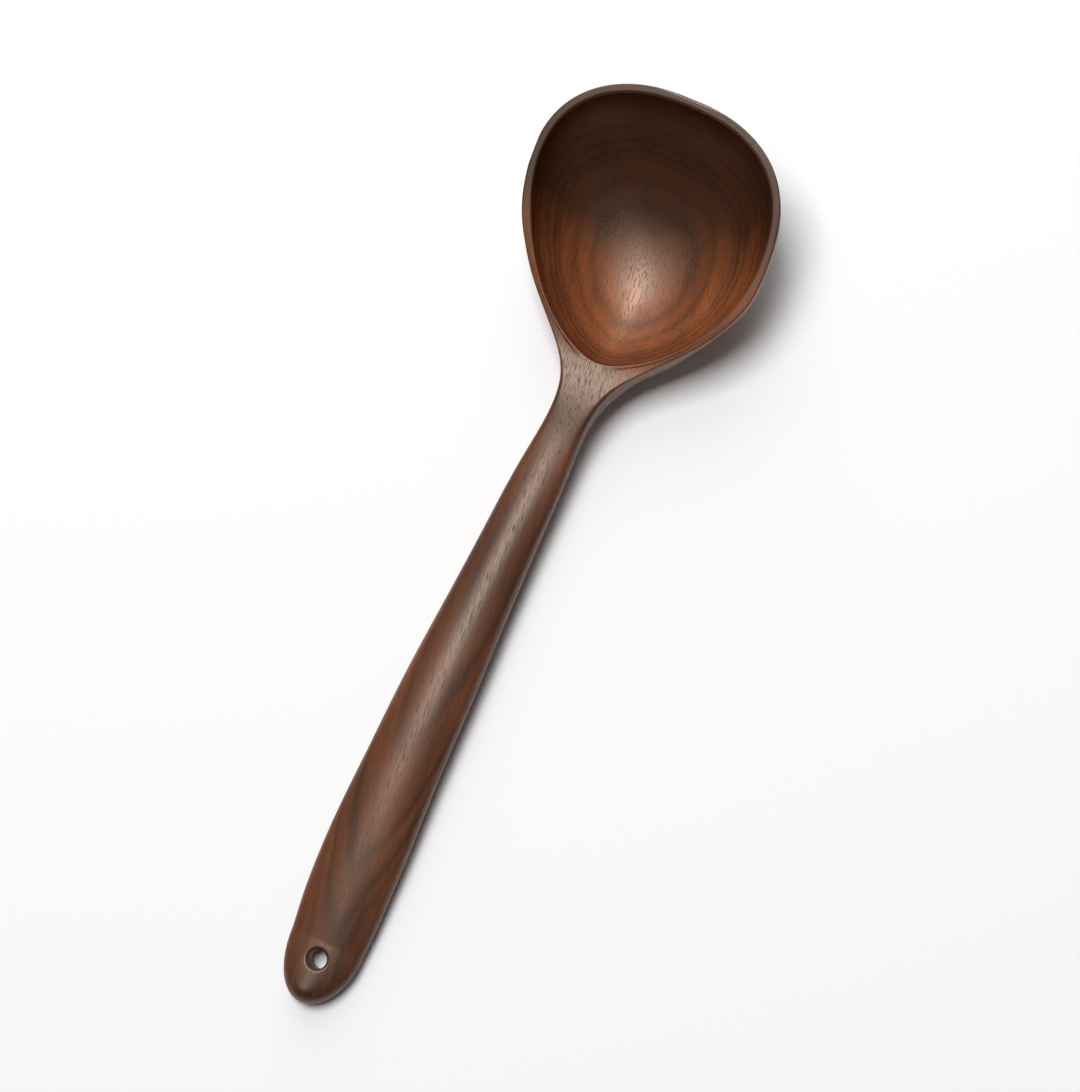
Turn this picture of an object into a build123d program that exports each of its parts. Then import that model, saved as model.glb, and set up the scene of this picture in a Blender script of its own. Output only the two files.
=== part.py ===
from build123d import *
import math
import os

os.makedirs("parts", exist_ok=True)

# Soup ladle, carved from one blank of dark walnut. It lies as it rests on a table: the lowest point of
# the bowl and the end of the handle stand on z = 0, and +X runs from the handle's tip to the far rim.
# Places along the ladle are measured from the tip.

# Overall sizes
length = 330.0
bowl_width = 90.2
far_rim_height = 46.0
rim_angle = 15.6

# Handle: its round end, its widest place and the neck
tip_round = 22.0
tip_width = 26.7
tip_thickness = 11.5
widest_handle_place = 57.0
handle_width = 29.3
bowl_reach = 116.0
neck_width = 15.6
neck_height = 16.4
handle_lift = 3.4
crown = 4.2
side_bow = 2.2

# Bowl
rim_wall = 3.0
cavity_depth = 26.5
web_share = 0.22
widest_share = 0.324
lowest_share = 0.457

# Rounded edges
rim_edge_radius = 0.8
handle_edge_radius = 2.4

# Hanging hole
hole_place = 15.9
hole_diameter = 6.7
hole_edge_radius = 1.2

overrun = 4.0

# Outline in plan, as shares of the way along and shares of the change in width
tip_shares = [(0, 0), (0.65, 0.94)]
taper_shares = [(0, 1), (0.18, 0.86), (0.37, 0.745), (0.56, 0.53), (0.75, 0.33), (0.91, 0.13)]
flare_shares = [
    (0, 0), (0.13, 0.004), (0.23, 0.05), (0.31, 0.137), (0.40, 0.309), (0.485, 0.492), (0.57, 0.656),
    (0.66, 0.786), (0.74, 0.880), (0.83, 0.947), (0.915, 0.981), (1, 1), (1.085, 0.988),
]

# Side view: the top line up to the rim plane, the underside up to the lowest place and the crown
top_shares = [(0, 0), (0.12, 0.24), (0.30, 0.60), (0.48, 0.80), (0.66, 0.91), (0.85, 0.97), (1, 1)]
under_shares = [
    (0, 0), (0.09, 0.10), (0.23, 0.45), (0.37, 0.70), (0.51, 0.88), (0.65, 0.95), (0.76, 1), (0.82, 1.04),
    (0.86, 0.9), (0.904, 0.42), (0.952, 0.09), (1, 0), (1.048, 0.09),
]
crown_shares = [
    (0, 0.85), (0.12, 1), (0.6, 1), (0.78, 0.85), (0.88, 0.62), (0.95, 0.38), (1, 0.17), (1.04, 0.04),
    (1.08, 0),
]

# The carver's line: how far the centre line wanders to the side, in shares of the side bow
wander_shares = [
    (0, 0), (0.06, -0.05), (0.17, 0.66), (0.33, 0.95), (0.52, 0.65), (0.64, 0.05), (0.71, -0.60),
    (0.76, -0.60), (0.82, -0.07), (0.886, 0.44), (0.94, 0.67), (1, 0.72),
]

# How full the sides are below the waist, from the handle's end of the neck to the widest place
fullness_shares = [(0, 1), (0.25, 1.4), (0.45, 1.6), (0.65, 1.35), (0.85, 1.1), (1, 1)]

# Slope of the rim plane, and the bowl's places, which are set back from the far rim in shares of its reach
rim_slope = math.tan(math.radians(rim_angle))
neck_place = length - bowl_reach
web_place = neck_place + bowl_reach * web_share
widest_place = length - bowl_reach * widest_share
lowest_place = length - bowl_reach * lowest_share


def rim_height(place):
    """Height of the rim plane, which rises from the web to the far rim."""
    return far_rim_height - (length - place) * rim_slope


def spread(shares, start, end, low, high):
    """Points of an outline in real sizes from its table of shares."""
    return [(start + along * (end - start), low + across * (high - low)) for along, across in shares]


def smooth(points, place):
    """Value at a place of the smooth curve through points: cubics that share their slopes."""
    place = min(max(place, points[0][0]), points[-1][0])
    before = 0
    while before < len(points) - 2 and place > points[before + 1][0]:
        before += 1
    start = points[before]
    end = points[before + 1]
    run = end[0] - start[0]
    rise = end[1] - start[1]
    earlier = points[max(before - 1, 0)]
    later = points[min(before + 2, len(points) - 1)]
    first = (end[1] - earlier[1]) / (end[0] - earlier[0]) * run
    last = (later[1] - start[1]) / (later[0] - start[0]) * run
    share = (place - start[0]) / run
    bend = 3 * rise - 2 * first - last
    return start[1] + share * (first + share * (bend + share * (first + last - 2 * rise)))


width_points = (
    spread(tip_shares, tip_round, widest_handle_place, tip_width, handle_width)
    + spread(taper_shares, widest_handle_place, neck_place, neck_width, handle_width)
    + spread(flare_shares, neck_place, widest_place, neck_width, bowl_width)
)
top_points = spread(top_shares, tip_round, neck_place, tip_thickness, neck_height)
top_points += [
    (web_place + step * (length - web_place), rim_height(web_place + step * (length - web_place)))
    for step in (0, 0.5, 1)
]
under_points = spread(under_shares, tip_round, lowest_place, 0, handle_lift)
crown_points = spread(crown_shares, tip_round, neck_place, 0, crown)
wander_points = spread(wander_shares, 0, length, 0, side_bow)
fullness_points = spread(fullness_shares, neck_place - neck_width, widest_place, 0, 1)
edge_points = [(neck_place, handle_edge_radius), (web_place, rim_edge_radius)]
edge_limit_share = 0.4
edge_crease_share = 0.12
squareness_share = 2.2


def half_width(place):
    """Half the width in plan: a half ellipse at the tip and a fuller one at the far rim."""
    if place < tip_round:
        return tip_width / 2 * math.sqrt(1 - (1 - place / tip_round) ** 2)
    if place > widest_place:
        share = (place - widest_place) / (length - widest_place)
        return bowl_width / 2 * (1 - share ** squareness_share) ** (1 / squareness_share)
    return smooth(width_points, place) / 2


def side_view(place):
    """Heights of the underside and the top, and of the crown above the side line."""
    if place < tip_round:
        nose = min(place / tip_thickness * 2, 1)
        share = math.sqrt(1 - (1 - nose) ** 2)
        middle = tip_thickness / 2
        return middle * (1 - share), middle * (1 + share), crown_points[0][1] * share
    top = smooth(top_points, place)
    if place > length - rim_edge_radius:
        top -= rim_edge_radius - math.sqrt(rim_edge_radius ** 2 - (rim_edge_radius - length + place) ** 2)
    if place > lowest_place:
        share = (place - lowest_place) / (length - lowest_place)
        return far_rim_height * (1 - math.sqrt(1 - share ** 2)), top, 0
    rise = smooth(crown_points, place) if place < crown_points[-1][0] else 0
    return smooth(under_points, place), top, rise


tip_angles = (5, 5.5, 12, 22, 34, 46, 58, 70, 80)
bowl_angles = (0, 15, 30, 43, 55, 65, 74, 81, 87)
tip_places = [tip_round * (1 - math.cos(math.radians(angle))) for angle in tip_angles]
body_places = sorted(place for place, _ in width_points[:-2])
bowl_places = [
    widest_place + (length - widest_place) * math.sin(math.radians(angle)) for angle in bowl_angles
]

# Cavity: outlines parallel to the rim plane, blunt at the web and fuller at the far rim, that shrink
# towards the deepest point
cavity_length = (length - web_place) / math.cos(math.radians(rim_angle)) - rim_wall
cavity_width = bowl_width - 2 * rim_wall
cavity_widest = (widest_place - web_place) / math.cos(math.radians(rim_angle))
deepest_share = 0.58
lean_share = 0.8
near_share = 1.8
near_side_share = 1.65
wall_share = 2.1
outline_angles = [step * 15 for step in range(24)]
depth_angles = (0, 12, 25, 38, 50, 61, 71, 80, 87)
rim_plane = Plane(
    origin=(web_place - length / 2, 0, rim_height(web_place)),
    x_dir=(1, 0, rim_slope),
    z_dir=(-rim_slope, 0, 1),
)


def power(value, share):
    """A value raised to a power with its sign kept."""
    return math.copysign(abs(value) ** share, value)


def cavity_outline(shrink, depth):
    """Points round the cavity, drawn in towards its deepest point, which leans to the web as it sinks."""
    deepest = deepest_share * cavity_length
    points = []
    for angle in outline_angles:
        along = math.cos(math.radians(angle))
        across = math.sin(math.radians(angle))
        if along > 0:
            reach = (cavity_length - cavity_widest) * power(along, 2 / squareness_share)
            width = cavity_width / 2 * power(across, 2 / squareness_share)
        else:
            reach = cavity_widest * power(along, 2 / near_share)
            width = cavity_width / 2 * power(across, 2 / near_side_share)
        place = deepest + (cavity_widest + reach - deepest) * shrink
        middle = smooth(wander_points, web_place + place * math.cos(math.radians(rim_angle)))
        points.append((place - lean_share * depth * rim_slope, middle + width * shrink))
    return points


with BuildPart() as cavity:
    with BuildSketch(rim_plane.offset(overrun)):
        with BuildLine():
            Spline(*cavity_outline(1, 0), periodic=True)
        make_face()
    for angle in depth_angles:
        shrink = math.cos(math.radians(angle)) ** (2 / wall_share)
        depth = cavity_depth * math.sin(math.radians(angle)) ** (2 / wall_share)
        with BuildSketch(rim_plane.offset(-depth)):
            with BuildLine():
                Spline(*cavity_outline(shrink, depth), periodic=True)
            make_face()
    loft()

with BuildPart() as carved:
    for place in tip_places + body_places + bowl_places:
        across = half_width(place)
        under, top, rise = side_view(place)
        middle = smooth(wander_points, place)
        side = top - rise
        edge = smooth(edge_points, place)
        edge = min(edge, across * edge_limit_share, (side - under) * edge_limit_share)
        flat = across - edge
        shoulder = side + rise * (1 - (flat / across) ** 2)
        waist = shoulder - 2 * rise * flat * edge / across ** 2 - edge
        belly = waist - (waist - under) * 4 / 3
        bulge = across * smooth(fullness_points, place)
        turn = across - edge_crease_share * edge
        turn_height = waist + (1 - edge_crease_share) * edge
        with BuildSketch(Plane.YZ.offset(place - length / 2)):
            with BuildLine():
                Bezier(
                    (middle + across, waist), (middle + bulge, belly),
                    (middle - bulge, belly), (middle - across, waist),
                )
                Bezier((middle - across, waist), (middle - turn, turn_height), (middle - flat, shoulder))
                Bezier((middle - flat, shoulder), (middle, 2 * top - shoulder), (middle + flat, shoulder))
                Bezier((middle + flat, shoulder), (middle + turn, turn_height), (middle + across, waist))
            make_face()
    loft()
    add(cavity.part, mode=Mode.SUBTRACT)
    mouth = carved.edges(Select.LAST).sort_by(SortBy.LENGTH)[-1]
    fillet(mouth, rim_edge_radius)
    with Locations(Plane.XY.offset(tip_thickness)):
        with Locations((hole_place - length / 2, smooth(wander_points, hole_place))):
            Hole(hole_diameter / 2)
    fillet(carved.edges(Select.LAST).filter_by(GeomType.LINE, reverse=True), hole_edge_radius)
    for place in (tip_round, neck_place):
        split(bisect_by=Plane.YZ.offset(place - length / 2), keep=Keep.BOTH)

# One solid, whose outside has faces of its own at the tip, along the handle and round the bowl
with BuildPart() as ladle:
    for stretch in carved.part.solids().sort_by(Axis.X):
        add(stretch, clean=False)

ladle.part.label = "ladle"
export_step(ladle.part, "parts/ladle.step")
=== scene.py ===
import math

import bpy
import numpy as np
from mathutils import Matrix, Vector


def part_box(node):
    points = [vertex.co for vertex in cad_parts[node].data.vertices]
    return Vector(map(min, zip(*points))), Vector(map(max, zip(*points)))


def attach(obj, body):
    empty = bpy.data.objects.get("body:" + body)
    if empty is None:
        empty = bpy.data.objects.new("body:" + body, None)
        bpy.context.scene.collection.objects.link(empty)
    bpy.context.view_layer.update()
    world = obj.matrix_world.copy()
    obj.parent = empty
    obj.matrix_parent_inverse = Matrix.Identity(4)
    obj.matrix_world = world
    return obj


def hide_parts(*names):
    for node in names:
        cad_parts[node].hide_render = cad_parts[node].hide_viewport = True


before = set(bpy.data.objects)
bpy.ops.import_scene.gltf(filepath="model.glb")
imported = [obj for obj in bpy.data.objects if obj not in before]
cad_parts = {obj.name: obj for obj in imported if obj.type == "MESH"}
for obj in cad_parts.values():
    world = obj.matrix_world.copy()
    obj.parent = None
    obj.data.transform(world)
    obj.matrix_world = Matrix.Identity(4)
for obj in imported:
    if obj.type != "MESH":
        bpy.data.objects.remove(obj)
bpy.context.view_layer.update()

# Ladle: one piece, carved from a single blank of dark walnut and rubbed with oil. Bowl, web and handle are
# one surface. The blank's growth layers lie nearly flat, so they show as rings in the bowl and as long
# arches on the handle. Places along the ladle are measured from the handle's tip.
length = 0.330
bowl_reach = 0.116
bowl_width = 0.0902
far_rim_height = 0.046
rim_angle = math.radians(15.6)

# Handle: its round end, its widest place and the neck
tip_round = 0.022
tip_width = 0.0269
tip_thickness = 0.0106
widest_handle_place = 0.057
handle_width = 0.0293
neck_width = 0.0150
neck_height = 0.0179
handle_lift = 0.0034
crown = 0.0042
side_bow = 0.0022
handle_edge = 0.0024
edge_limit_share = 0.4

# Bowl: its places are shares of its reach. A power says how full a curve is: 1 gives a straight slope, 2 an
# ellipse, and more a squarer one.
web_share = 0.22
widest_share = 0.324
lowest_share = 0.457
rim_wall = 0.003
rim_edge = 0.0008
cavity_depth = 0.0265
deepest_share = 0.545
lean_share = 0.8
far_power = 2.35
near_power = 1.8
near_side_power = 1.65
wall_power = 1.8

# Hanging hole
hole_place = 0.0159
hole_radius = 0.00335
hole_edge = 0.0012

tip_x = -length / 2
rim_sin = math.sin(rim_angle)
rim_cos = math.cos(rim_angle)
rim_slope = math.tan(rim_angle)
neck_place = length - bowl_reach
web_place = neck_place + bowl_reach * web_share
widest_place = length - bowl_reach * widest_share
lowest_place = length - bowl_reach * lowest_share

# Outline in plan, as shares of the way along and shares of the change in width
tip_shares = [(0, 0), (0.35, 0.75), (0.65, 0.97)]
taper_shares = [(0, 1), (0.18, 0.86), (0.37, 0.745), (0.56, 0.53), (0.75, 0.34), (0.91, 0.16)]
flare_shares = [
    (0, 0), (0.13, 0.006), (0.23, 0.062), (0.31, 0.166), (0.40, 0.340), (0.485, 0.515), (0.57, 0.672),
    (0.66, 0.801), (0.74, 0.894), (0.83, 0.961), (0.915, 0.990), (1, 1), (1.085, 0.988),
]

# Side view: the top line up to the neck and the web, the underside up to the lowest place, and the crown
top_shares = [
    (0, 0), (0.12, 0.27), (0.30, 0.56), (0.48, 0.67), (0.66, 0.72), (0.85, 0.78), (0.95, 0.87), (1, 1),
]
web_points = [(0.221, 0.0189), (0.229, 0.0198)]
under_shares = [
    (0, 0), (0.09, 0.10), (0.23, 0.45), (0.37, 0.70), (0.51, 0.88), (0.65, 0.95), (0.76, 1), (0.82, 1.04),
    (0.86, 0.9), (0.904, 0.42), (0.952, 0.09), (1, 0), (1.048, 0.09),
]
crown_shares = [
    (0, 0.85), (0.12, 1), (0.6, 1), (0.78, 0.85), (0.88, 0.62), (0.95, 0.38), (1, 0.17), (1.04, 0.04),
    (1.08, 0),
]

# The carver's line: how far the centre line wanders to the side, in shares of the side bow
wander_shares = [
    (0, 0), (0.06, -0.03), (0.105, 0.32), (0.17, 0.68), (0.33, 0.95), (0.52, 0.65), (0.64, 0.05),
    (0.71, -0.60), (0.76, -0.60), (0.82, -0.30), (0.886, 0.55), (0.94, 0.88), (1, 0.66),
]

# How full the sides are below the waist, from the handle's end of the neck to the widest place
fullness_shares = [
    (0, 1), (0.15, 1.05), (0.25, 1.27), (0.347, 1.60), (0.435, 1.36), (0.53, 1.25), (0.615, 1.0), (0.8, 1),
    (1, 1),
]


def spread(shares, start, end, low_value, high_value):
    """Real points of a curve: each share of the way along, with its share of the change in value."""
    run = end - start
    rise = high_value - low_value
    return [(start + along * run, low_value + across * rise) for along, across in shares]


def curve_through(points, place):
    """Natural cubic spline: cubics from point to point whose slopes and bends agree where they meet."""
    known, value = np.array(points).T
    gap = np.diff(known)
    slope = np.diff(value) / gap
    inner = np.arange(1, len(known) - 1)
    matrix = np.eye(len(known))
    matrix[inner, inner - 1] = gap[:-1]
    matrix[inner, inner] = 2 * (gap[:-1] + gap[1:])
    matrix[inner, inner + 1] = gap[1:]
    change = np.zeros(len(known))
    change[1:-1] = 6 * np.diff(slope)
    bend = np.linalg.solve(matrix, change)
    place = np.clip(place, known[0], known[-1])
    before = np.clip(np.searchsorted(known, place) - 1, 0, len(known) - 2)
    step = place - known[before]
    first = slope[before] - gap[before] * (2 * bend[before] + bend[before + 1]) / 6
    growth = (bend[before + 1] - bend[before]) / (6 * gap[before])
    return value[before] + step * (first + step * (bend[before] / 2 + step * growth))


def rim_height(place):
    """Height of the rim plane, which rises evenly from the web to the far rim."""
    return far_rim_height - (length - place) * rim_slope


width_points = (
    spread(tip_shares, tip_round, widest_handle_place, tip_width, handle_width)
    + spread(taper_shares, widest_handle_place, neck_place, neck_width, handle_width)
    + spread(flare_shares, neck_place, widest_place, neck_width, bowl_width)
)
top_points = (
    spread(top_shares, tip_round, neck_place, tip_thickness, neck_height)
    + web_points
    + [(place, rim_height(place)) for place in np.linspace(web_place, length, 5)]
)
under_points = spread(under_shares, tip_round, lowest_place, 0, handle_lift)
crown_points = spread(crown_shares, tip_round, neck_place, 0, crown)
wander_points = spread(wander_shares, 0, length, 0, side_bow)
fullness_points = spread(fullness_shares, neck_place - neck_width, widest_place, 0, 1)
edge_points = [(neck_place, handle_edge), (web_place, rim_edge)]

# At the very tip the width is nothing, and this takes its place where a width divides
smallest_width = 1e-9


def middle_line(place):
    """Sideways place of the centre line, which wanders a little as the knife did: a spline."""
    return curve_through(wander_points, place)


def half_width(place):
    """Half the plan width: a half ellipse at the tip, a superellipse at the far rim, a spline between."""
    tip = tip_width / 2 * np.sqrt(np.clip(1 - (1 - place / tip_round) ** 2, 0, 1))
    share = np.clip((place - widest_place) / (length - widest_place), 0, 1)
    far = bowl_width / 2 * (1 - share ** far_power) ** (1 / far_power)
    between = curve_through(width_points, place) / 2
    return np.where(place < tip_round, tip, np.where(place > widest_place, far, between))


def side_view(place):
    """Heights of the underside and the top, and of the crown above the side line: half a circle at the
    tip, then splines, with a quarter ellipse under the far rim, whose edge is rounded."""
    tip_middle = tip_thickness / 2
    nose = np.sqrt(1 - (1 - np.clip(place / tip_middle, 0, 1)) ** 2)
    share = np.clip((place - lowest_place) / (length - lowest_place), 0, 1)
    belly = (far_rim_height - rim_edge) * (1 - np.sqrt(1 - share ** 2))
    past_edge = np.clip(place - (length - rim_edge), 0, rim_edge)
    fall = rim_edge - np.sqrt(rim_edge ** 2 - past_edge ** 2)
    under = np.where(place > lowest_place, belly, curve_through(under_points, place))
    under = np.where(place < tip_round, tip_middle * (1 - nose), under)
    top = np.where(place < tip_round, tip_middle * (1 + nose), curve_through(top_points, place) - fall)
    rise = np.where(place < tip_round, crown_points[0][1] * nose, curve_through(crown_points, place))
    return under, top, np.where(place > crown_points[-1][0], 0, rise)


def top_height(place, y):
    """Height of the top face: the top line less the crown's parabola."""
    top, rise = side_view(place)[1:]
    return top - rise * ((y - middle_line(place)) / np.maximum(half_width(place), smallest_width)) ** 2


def section_edge(place):
    """Height of the waist, half the width inside the rounded edges, and height of the corner that an edge
    rounds off, where the crown's slope at that width meets the side. The waist is a radius below it."""
    under, top, rise = side_view(place)
    across = half_width(place)
    side = top - rise
    edge = curve_through(edge_points, place)
    edge = np.minimum(edge, np.minimum(across, side - under) * edge_limit_share)
    flat = across - edge
    across = np.maximum(across, smallest_width)
    corner = top - rise * (flat / across) ** 2 - 2 * rise * flat * edge / across ** 2
    return corner - edge, flat, corner


def under_surface(place, share):
    """Underside from one waist (share 0) to the other (share 1): a cubic arch whose sides swell by the
    fullness."""
    under = side_view(place)[0]
    waist = section_edge(place)[0]
    swell = share * (1 - share) * (3 * curve_through(fullness_points, place) - 1)
    y = middle_line(place) + half_width(place) * (1 - 2 * share) * (1 + swell)
    return place, y, waist - 4 * (waist - under) * share * (1 - share)


def edge_surface(place, share, side):
    """Rounded edge from the waist (share 0) up to the top face (share 1), on the left (side 1) or the right
    (side -1): a quadratic turn."""
    waist, flat, corner = section_edge(place)
    shoulder = top_height(place, middle_line(place) + flat)
    start = (1 - share) ** 2
    middle = 2 * share * (1 - share)
    end = share ** 2
    y = middle_line(place) + side * ((start + middle) * half_width(place) + end * flat)
    return place, y, start * waist + middle * corner + end * shoulder


# Cavity: it lies under the rim plane, and its lengths are measured in that plane from the web. A small turn
# along its outline gives the outline's direction.
cavity_length = (length - web_place) / rim_cos - rim_wall
cavity_width = bowl_width - 2 * rim_wall
cavity_widest = (widest_place - web_place) / rim_cos
deepest = deepest_share * cavity_length
small_turn = 0.01


def cavity_outline(angle):
    """Mouth outline in the rim plane: a superellipse on the far side and a leaner one on the near side,
    known every 15 degrees and joined by a spline."""
    known = np.radians(np.arange(-360, 721, 15))
    along = np.round(np.cos(known), 9)
    across = np.round(np.sin(known), 9)
    far_reach = (cavity_length - cavity_widest) * np.abs(along) ** (2 / far_power)
    near_reach = cavity_widest * np.abs(along) ** (2 / near_power)
    place = cavity_widest + np.where(along > 0, far_reach, -near_reach)
    side_power = np.where(along > 0, far_power, near_side_power)
    half = cavity_width / 2 * np.abs(across) ** (2 / side_power) * np.sign(across)
    side = middle_line(web_place + place * rim_cos) + half
    return curve_through(np.stack([known, place], 1), angle), curve_through(np.stack([known, side], 1), angle)


def cavity_surface(angle, depth, grow=0):
    """Wall of the bowl at a depth under the rim plane: the mouth outline shrunk on a superellipse towards
    the deepest point, which leans to the handle, and moved outwards by grow for the rounded lip."""
    place, side = cavity_outline(angle)
    ahead, beside = cavity_outline(angle + small_turn)
    step = np.hypot(ahead - place, beside - side)
    shrink = np.sqrt(1 - np.clip(depth / cavity_depth, 0, 1) ** wall_power)
    reach = deepest + (place - deepest) * shrink
    half = side - middle_line(web_place + place * rim_cos)
    along = reach - lean_share * depth * rim_slope + grow * (beside - side) / step
    x = web_place + along * rim_cos + depth * rim_sin
    y = middle_line(web_place + reach * rim_cos) + half * shrink - grow * (ahead - place) / step
    return x, y, rim_height(web_place) + along * rim_sin - depth * rim_cos


def grid_faces(start, rows, columns):
    """Quads of a grid of points, row by row."""
    corner = start + np.arange(rows - 1)[:, None] * columns + np.arange(columns - 1)
    return np.stack([corner, corner + 1, corner + columns + 1, corner + columns], -1).reshape(-1, 4)


surface_points = []
surface_faces = []


def add_patch(x, y, z, skip=None, turned=False):
    """Adds a grid of points with its quads, without the quads where skip is true."""
    x, y, z = np.broadcast_arrays(x, y, z)
    faces = grid_faces(sum(len(patch) for patch in surface_points), *x.shape)
    if skip is not None:
        faces = faces[~skip.ravel()]
    surface_points.append(np.stack([x, y, z], -1).reshape(-1, 3))
    surface_faces.append(faces[:, ::-1] if turned else faces)


# Rows of the outside, from the tip to the far rim. The top face has rows only as far as a cut between the
# neck and the web, where the rim's rays take over.
cut_place = 0.224
tip_places = tip_round * (1 - np.cos(np.radians(np.arange(0, 90, 3))))
handle_places = np.linspace(tip_round, cut_place, 203)
flare_places = np.linspace(cut_place, widest_place, 77)
far_places = widest_place + (length - widest_place) * np.sin(np.radians(np.arange(2, 91, 2)))
places = np.concatenate([tip_places, handle_places, flare_places[1:], far_places])[:, None]
cut_row = len(tip_places) + len(handle_places) - 1
top_places = places[: cut_row + 1]

under_grid = np.broadcast_arrays(*under_surface(places, np.linspace(0, 1, 49)[None, :]))
edge_share = np.linspace(0, 1, 7)[None, :]
left_grid = np.broadcast_arrays(*edge_surface(places, edge_share, 1))
right_grid = np.broadcast_arrays(*edge_surface(places, edge_share, -1))
top_y = middle_line(top_places) + section_edge(top_places)[1] * np.linspace(-1, 1, 25)[None, :]
top_grid = np.broadcast_arrays(top_places, top_y, top_height(top_places, top_y))

# Block of rows and columns, above and below, that makes room for the hanging hole
block_reach = 0.0072
hole_rows = np.flatnonzero(np.abs(top_places[:, 0] - hole_place) < block_reach)[[0, -1]]
top_columns = (5, 19)
under_columns = (31, 17)
hole_y = middle_line(hole_place)


def block_skip(grid, columns):
    """True for the quads inside the hole's block."""
    row, column = np.indices((grid[0].shape[0] - 1, grid[0].shape[1] - 1))
    inside = (row >= hole_rows[0]) & (row < hole_rows[1])
    return inside & (column >= min(columns)) & (column < max(columns))


def block_loop(grid, columns):
    """Closed line of points round the hole's block, in the same order above and below."""
    first, last = hole_rows
    way = 1 if columns[1] > columns[0] else -1
    across = np.arange(columns[0], columns[1] + way, way)
    along = np.arange(first, last + 1)
    loop_rows = np.concatenate([
        np.full(len(across) - 1, first), along[:-1], np.full(len(across) - 1, last), along[:0:-1],
    ])
    loop_columns = np.concatenate([
        across[:-1], np.full(len(along) - 1, across[-1]), across[:0:-1], np.full(len(along) - 1, across[0]),
    ])
    loop = np.stack([axis[loop_rows, loop_columns] for axis in grid], -1)
    return np.concatenate([loop, loop[:1]])


def under_height(place, y):
    """Height of the underside at a point in plan: the arch's own curve, with the handle's fullness of 1,
    read at that width."""
    share = np.linspace(0, 0.5, 200)
    bulge = share * (1 - share)
    across = (1 - 2 * share) * (1 + 2 * bulge)
    wanted = np.abs(y - middle_line(place)) / half_width(place)
    waist = section_edge(place)[0]
    return waist - 4 * (waist - side_view(place)[0]) * np.interp(-wanted, -across, bulge)


def hole_patch(loop, angle, height, sign):
    """Face on top (sign 1) or below (sign -1), from the block's outline to the hole, whose edge is rounded by
    a quarter circle."""
    share = np.linspace(0, 1, 9)[None, :]
    turn = np.radians(np.linspace(0, 90, 9))[None, 1:]
    rounding = hole_radius + hole_edge * (1 - np.sin(turn))
    edge_x = hole_place + (hole_radius + hole_edge) * np.cos(angle)
    edge_y = hole_y + (hole_radius + hole_edge) * np.sin(angle)
    flat_x = loop[:, :1] * (1 - share) + edge_x * share
    flat_y = loop[:, 1:2] * (1 - share) + edge_y * share
    x = np.concatenate([flat_x, hole_place + rounding * np.cos(angle)], 1)
    y = np.concatenate([flat_y, hole_y + rounding * np.sin(angle)], 1)
    drop = np.concatenate([0 * share, hole_edge * (1 - np.cos(turn))], 1)
    z = height(x, y) - sign * drop
    z[:, 0] = loop[:, 2]
    return x, y, z


top_loop = block_loop(top_grid, top_columns)
under_loop = block_loop(under_grid, under_columns)
hole_angle = np.unwrap(np.arctan2(top_loop[:, 1] - hole_y, top_loop[:, 0] - hole_place))[:, None]
above = hole_patch(top_loop, hole_angle, top_height, 1)
below = hole_patch(under_loop, hole_angle, under_height, -1)
bore_share = np.linspace(0, 1, 6)[None, :]
bore = [top[:, -1:] * (1 - bore_share) + under[:, -1:] * bore_share for top, under in zip(above, below)]

add_patch(*under_grid, skip=block_skip(under_grid, under_columns), turned=True)
add_patch(*left_grid)
add_patch(*right_grid, turned=True)
add_patch(*top_grid, skip=block_skip(top_grid, top_columns), turned=True)
add_patch(*above)
add_patch(*below, turned=True)
add_patch(*bore)

# Rim, lip and bowl: rays from the outline and from the cut run straight to the mouth, in line with the
# deepest point in plan, then over the rounded lip and down the wall to that point.
ray_crowding = 1.6
rim_rows = np.arange(cut_row, len(places))
outline = np.concatenate([
    np.stack([axis[rim_rows, -1] for axis in left_grid], -1),
    np.stack([axis[rim_rows[-2::-1], -1] for axis in right_grid], -1),
    np.stack([axis[cut_row, 1:] for axis in top_grid], -1),
])
centre_x = web_place + deepest * rim_cos
trial_angle = np.linspace(-math.pi, math.pi, 1441)
trial_x, trial_y = cavity_surface(trial_angle, 0)[:2]
trial_bearing = np.unwrap(np.arctan2(trial_y, trial_x - centre_x))
bearing = np.unwrap(np.arctan2(outline[:, 1], outline[:, 0] - centre_x))
bearing = (bearing - trial_bearing[0]) % (2 * math.pi) + trial_bearing[0]
mouth_angle = np.interp(bearing, trial_bearing, trial_angle)[:, None]

lip_turn = np.radians(np.linspace(0, 90, 9))[None, :]
lip = cavity_surface(mouth_angle, rim_edge * (1 - np.cos(lip_turn)), rim_edge * (1 - np.sin(lip_turn)))
ray_share = np.linspace(0, 1, 17)[None, :] ** ray_crowding
ray_x = outline[:, :1] * (1 - ray_share) + lip[0][:, :1] * ray_share
ray_y = outline[:, 1:2] * (1 - ray_share) + lip[1][:, :1] * ray_share
ray_z = top_height(ray_x, ray_y)
ray_z[:, 0] = outline[:, 2]
start_turn = math.asin((rim_edge / cavity_depth) ** (wall_power / 2))
wall_turn = np.linspace(start_turn, math.pi / 2, 60)[None, 1:]
wall = cavity_surface(mouth_angle, cavity_depth * np.sin(wall_turn) ** (2 / wall_power))
rays = (ray_x[:, :-1], ray_y[:, :-1], ray_z[:, :-1])
bowl = [np.concatenate(stretches, 1) for stretches in zip(rays, lip, wall)]
add_patch(*[np.concatenate([axis, axis[:1]]) for axis in bowl])

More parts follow.
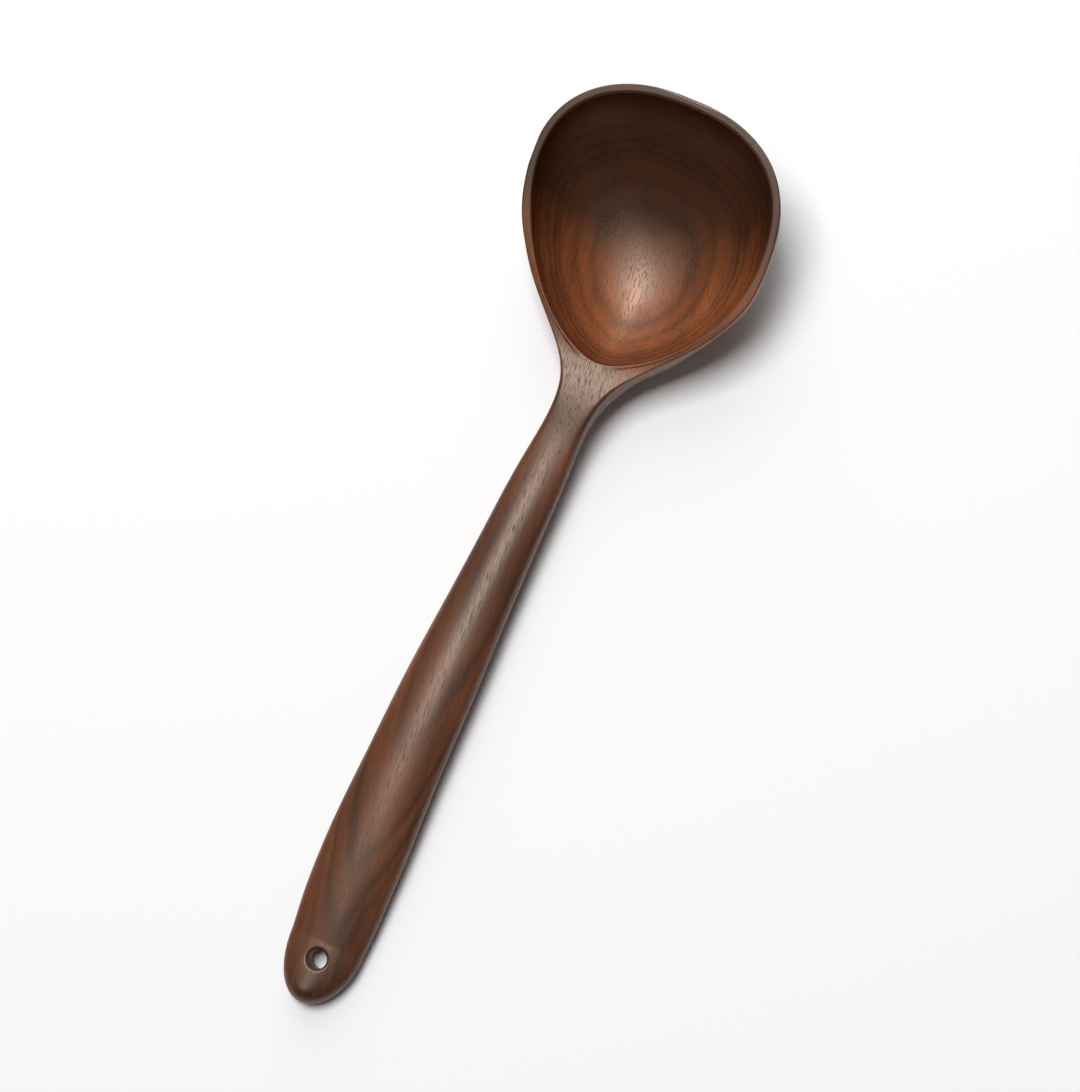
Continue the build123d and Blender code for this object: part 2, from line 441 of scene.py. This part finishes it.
# One closed surface inside the solid's box: patches share the points of their seams, and a quad that has
# lost a side at the tip or at the deepest point becomes a triangle
merge_digits = 7
points = np.concatenate(surface_points)
faces = np.concatenate(surface_faces)
points[:, 0] += tip_x
points = np.clip(points, *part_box("ladle"))
rounded = np.round(points, merge_digits)
_, kept, number = np.unique(rounded, axis=0, return_index=True, return_inverse=True)
points = points[kept]
faces = number.reshape(-1)[faces]
lost_side = faces == np.roll(faces, -1, axis=1)
lost_sides = lost_side.sum(1)
quads = faces[lost_sides == 0]
triangles = faces[lost_sides == 1][~lost_side[lost_sides == 1]].reshape(-1, 3)

mesh = bpy.data.meshes.new("ladle_wood")
mesh.from_pydata(points.tolist(), [], quads.tolist() + triangles.tolist())
mesh.update()
mesh.polygons.foreach_set("use_smooth", np.ones(len(mesh.polygons), bool))
ladle = bpy.data.objects.new("ladle_wood", mesh)
bpy.context.scene.collection.objects.link(ladle)

# Oiled walnut: it reads the ladle's own coordinates, turned in plan because the grain runs a little askew
grain_turn = math.radians(10)
walnut = bpy.data.materials.new("oiled_walnut")
walnut.use_nodes = True
links = walnut.node_tree.links
shader = walnut.node_tree.nodes["Principled BSDF"]


def add_node(kind, inputs, **settings):
    """Adds a shading node with its settings, and fills or links its inputs."""
    node = walnut.node_tree.nodes.new(kind)
    for name, value in settings.items():
        setattr(node, name, value)
    for name, value in inputs.items():
        if isinstance(value, bpy.types.NodeSocket):
            links.new(value, node.inputs[name])
        else:
            node.inputs[name].default_value = value
    return node


def calculate(operation, first, second):
    """Output of a sum, difference or product of two values."""
    return add_node("ShaderNodeMath", {0: first, 1: second}, operation=operation).outputs[0]


def weighed_sum(base, *terms):
    """Output of a base value plus each value times its share."""
    total = base
    for value, share in terms:
        total = calculate("ADD", calculate("MULTIPLY", value, share), total)
    return total


def blend(share, first, second):
    """Output of a blend from the first colour (share 0) to the second (share 1), on a Mix node's colour
    sockets."""
    return add_node("ShaderNodeMix", {0: share, 6: first, 7: second}, data_type="RGBA").outputs[2]


def colour_ramp(value, stops):
    """Output of a colour that runs from stop to stop of a value."""
    ramp = add_node("ShaderNodeValToRGB", {0: value})
    elements = ramp.color_ramp.elements
    for position, _ in stops[1:-1]:
        elements.new(position)
    for element, (position, colour) in zip(elements, stops):
        element.position = position
        element.color = (*colour, 1)
    return ramp.outputs[0]


def tone_ramp(value, stops):
    """Output of a grey tone that runs from stop to stop of a value."""
    return colour_ramp(value, [(position, (tone, tone, tone)) for position, tone in stops])


def grain_noise(along, across, detail):
    """Noise with features so long along the grain and so wide across it."""
    scale = (1 / along, 1 / across, 1 / across)
    stretched = add_node("ShaderNodeMapping", {"Vector": along_grain, "Scale": scale}).outputs[0]
    noise = add_node("ShaderNodeTexNoise", {"Vector": stretched, "Scale": 1.0, "Detail": detail})
    return noise.outputs["Fac"]


def waver(height, along, across, detail):
    """Output of a soft noise that rises and falls about zero, so high from top to bottom."""
    centred = calculate("SUBTRACT", grain_noise(along, across, detail), 0.5)
    return calculate("MULTIPLY", centred, height)


coordinates = add_node("ShaderNodeTexCoord", {}).outputs["Object"]
turned_grain = {"Vector": coordinates, "Rotation": (0, 0, -grain_turn)}
along_grain = add_node("ShaderNodeMapping", turned_grain).outputs[0]
axes = add_node("ShaderNodeSeparateXYZ", {0: along_grain})
grain_x = axes.outputs["X"]
grain_z = axes.outputs["Z"]

# Growth layers: nearly level shells, a little wavy, that follow a polynomial of the place along the grain,
# whose factors run from the highest power down. Each layer has a height and a tone. Dark ones are late wood.
sag_start = 0.110
sag_factors = (-15.8, -6.04, -0.0528, 0.138, 0.0)
layer_span = 0.050
layer_tones = [
    (0.0000, 0.50), (0.0075, 0.58), (0.0086, 0.25), (0.0098, 0.55), (0.0106, 0.62), (0.0115, 0.36),
    (0.0126, 0.62), (0.0145, 0.66), (0.0154, 0.35), (0.0161, 0.58), (0.0167, 0.12), (0.0173, 0.50),
    (0.0181, 0.60), (0.0187, 0.18), (0.0194, 0.52), (0.0220, 0.60), (0.0230, 0.20), (0.0240, 0.52),
    (0.0249, 0.56), (0.0256, 0.22), (0.0266, 0.50), (0.0290, 0.45), (0.0300, 0.28), (0.0315, 0.42),
    (0.0500, 0.30),
]
from_start = calculate("SUBTRACT", grain_x, sag_start)
sag = sag_factors[0]
for factor in sag_factors[1:]:
    sag = calculate("ADD", calculate("MULTIPLY", from_start, sag), factor)
wave = waver(height=0.0040, along=0.090, across=0.030, detail=1)
ripple = waver(height=0.0012, along=0.030, across=0.006, detail=2)
layer = calculate("ADD", calculate("SUBTRACT", grain_z, sag), calculate("ADD", wave, ripple))
layer_stops = [(height / layer_span, tone) for height, tone in layer_tones]
layer_tone = tone_ramp(calculate("MULTIPLY", layer, 1 / layer_span), layer_stops)

# Tone: the layers with fine streaks and soft clouds. The wood is darker near the tip, which is painted shade
# for the handle's end that catches no sheen, and it grows paler up to the handle's widest place, counted from
# ramp_start_x because a ramp starts at 0, and paler again in the amber bowl.
layer_share = 0.62
streak_share = 0.30
cloud_share = 0.60
tip_shade_share = 0.12
amber_share = 0.25
tone_base = -0.40
ramp_start_x = -0.200
wood_colours = [
    (0.00, (0.018, 0.0065, 0.0035)), (0.30, (0.064, 0.019, 0.007)), (0.60, (0.145, 0.041, 0.012)),
    (1.00, (0.340, 0.088, 0.021)),
]
streaks = grain_noise(along=0.045, across=0.0011, detail=3)
clouds = grain_noise(along=0.070, across=0.012, detail=2)
# Painted shade: the tone darkens towards the tip, where the end catches no sheen
tip_shade_ramp = tone_ramp(calculate("SUBTRACT", grain_x, ramp_start_x), [(0.050, 0.0), (0.090, 1.0)])
amber = tone_ramp(grain_x, [(0.055, 0.0), (0.085, 1.0)])
wood_tone = weighed_sum(
    tone_base, (layer_tone, layer_share), (streaks, streak_share), (clouds, cloud_share),
    (tip_shade_ramp, tip_shade_share), (amber, amber_share),
)
sound_wood = colour_ramp(wood_tone, wood_colours)

# Heartwood and painted shade: past a ragged line, the far end of the bowl runs into nearly black wood. Part
# of it is dark heartwood, and part is painted shade where the far inner wall faces away from the light.
heartwood_shade_place = 0.120
heartwood_shade_run = 0.024
heartwood_shade_wander = 0.03
heartwood_shade_share = 0.80
heartwood_shade_colour = (0.010, 0.0035, 0.002, 1)
ragged = weighed_sum(-heartwood_shade_place, (grain_noise(along=0.040, across=0.016, detail=3), heartwood_shade_wander))
heartwood_and_shade = tone_ramp(calculate("ADD", grain_x, ragged), [(0.0, 0.0), (heartwood_shade_run, 1.0)])
# Wood colour with the far end's painted shade and heartwood blended in
wood_with_far_shade = blend(calculate("MULTIPLY", heartwood_and_shade, heartwood_shade_share), sound_wood, heartwood_shade_colour)

# Open pores: short dark pits along the grain
pore_share = 0.55
pore_colour = (0.012, 0.005, 0.003, 1)
pores = tone_ramp(grain_noise(along=0.0045, across=0.0003, detail=0), [(0.60, 0.0), (0.66, 1.0)])
colour = blend(calculate("MULTIPLY", pores, pore_share), wood_with_far_shade, pore_colour)
links.new(colour, shader.inputs["Base Color"])

# Sheen: oiled and rubbed, duller in the open pores, uneven where the oil soaked in, glossier in the bowl
dull_base = 0.36
cloud_dullness = 0.10
pore_dullness = 0.15
amber_dullness = -0.07
oil_gloss = 0.86
oil_tint = (1.0, 0.82, 0.68, 1)
dullness = weighed_sum(dull_base, (clouds, cloud_dullness), (pores, pore_dullness), (amber, amber_dullness))
links.new(dullness, shader.inputs["Roughness"])
shader.inputs["Specular IOR Level"].default_value = oil_gloss
shader.inputs["Specular Tint"].default_value = oil_tint

# Relief: the pores are sunk, and the streaks rise by up to half as much
relief_depth = 0.00005
relief_strength = 0.25
streak_relief = 0.5
relief = calculate("SUBTRACT", calculate("MULTIPLY", streaks, streak_relief), pores)
bump = add_node("ShaderNodeBump", {"Height": relief, "Strength": relief_strength, "Distance": relief_depth})
links.new(bump.outputs[0], shader.inputs["Normal"])
mesh.materials.append(walnut)

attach(ladle, "root")
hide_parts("ladle")

# Table: a plain matt white sheet that the ladle lies on, wide enough for every view. Its own colour makes
# the white background, and it keeps the ladle's shadow.
table_reach = 3
sheet_white = (0.95, 0.95, 0.95, 1)
corners = [
    (-table_reach, -table_reach, 0), (table_reach, -table_reach, 0),
    (table_reach, table_reach, 0), (-table_reach, table_reach, 0),
]
floor_mesh = bpy.data.meshes.new("table_sheet")
floor_mesh.from_pydata(corners, [], [(0, 1, 2, 3)])
floor = bpy.data.objects.new("table_sheet", floor_mesh)
bpy.context.scene.collection.objects.link(floor)
paper = bpy.data.materials.new("white_sheet")
paper.use_nodes = True
paper.node_tree.nodes["Principled BSDF"].inputs["Base Color"].default_value = sheet_white
paper.node_tree.nodes["Principled BSDF"].inputs["Roughness"].default_value = 1.0
floor_mesh.materials.append(paper)

# Light: two square soft boxes, one nearly overhead and one beyond the far rim, and a pale room all round.
# Together they light the white sheet just up to white.
box_distance = 2.6
room_level = 0.09


def soft_box(name, direction, side, power):
    """A square area lamp that stands off the ladle in a direction and faces it."""
    away = Vector(direction).normalized()
    lamp = bpy.data.lights.new(name, "AREA")
    lamp.shape = "SQUARE"
    lamp.size = side
    lamp.energy = power
    holder = bpy.data.objects.new(name, lamp)
    holder.location = away * box_distance
    holder.rotation_euler = away.to_track_quat("Z", "Y").to_euler()
    bpy.context.scene.collection.objects.link(holder)


soft_box("key_box", direction=(0.18, 0.18, 0.97), side=1.25, power=59)
soft_box("far_box", direction=(0.76, 0.36, 0.54), side=2.20, power=23)
world = bpy.data.worlds.new("pale_room")
world.use_nodes = True
world.node_tree.nodes["Background"].inputs["Color"].default_value = (1, 1, 1, 1)
world.node_tree.nodes["Background"].inputs["Strength"].default_value = room_level
bpy.context.scene.world = world

# Camera: above the ladle, a little towards the handle's end and the photograph's right edge.
# Its place, aim, roll and focal length were worked out from the ladle's outline there.
camera_place = Vector((tip_x + 0.11437, -0.19365, 0.87828))
target = Vector((tip_x + 0.17578, -0.00696, 0))
roll = math.radians(-64.77)
focal_pixels = 2598.0
photo_height = 1092
sensor_height = 24
back = (camera_place - target).normalized()
level = (Vector((1, 0, 0)) - back * back.x).normalized()
upright = back.cross(level)
right = level * math.cos(roll) + upright * math.sin(roll)
up = upright * math.cos(roll) - level * math.sin(roll)
camera = bpy.data.objects.new("camera", bpy.data.cameras.new("camera"))
camera.matrix_world = Matrix.Translation(camera_place) @ Matrix((right, up, back)).transposed().to_4x4()
camera.data.sensor_fit = "VERTICAL"
camera.data.sensor_height = sensor_height
camera.data.lens = focal_pixels / photo_height * sensor_height
bpy.context.scene.collection.objects.link(camera)
bpy.context.scene.camera = camera

view = bpy.context.scene.view_settings
view.view_transform = "Standard"
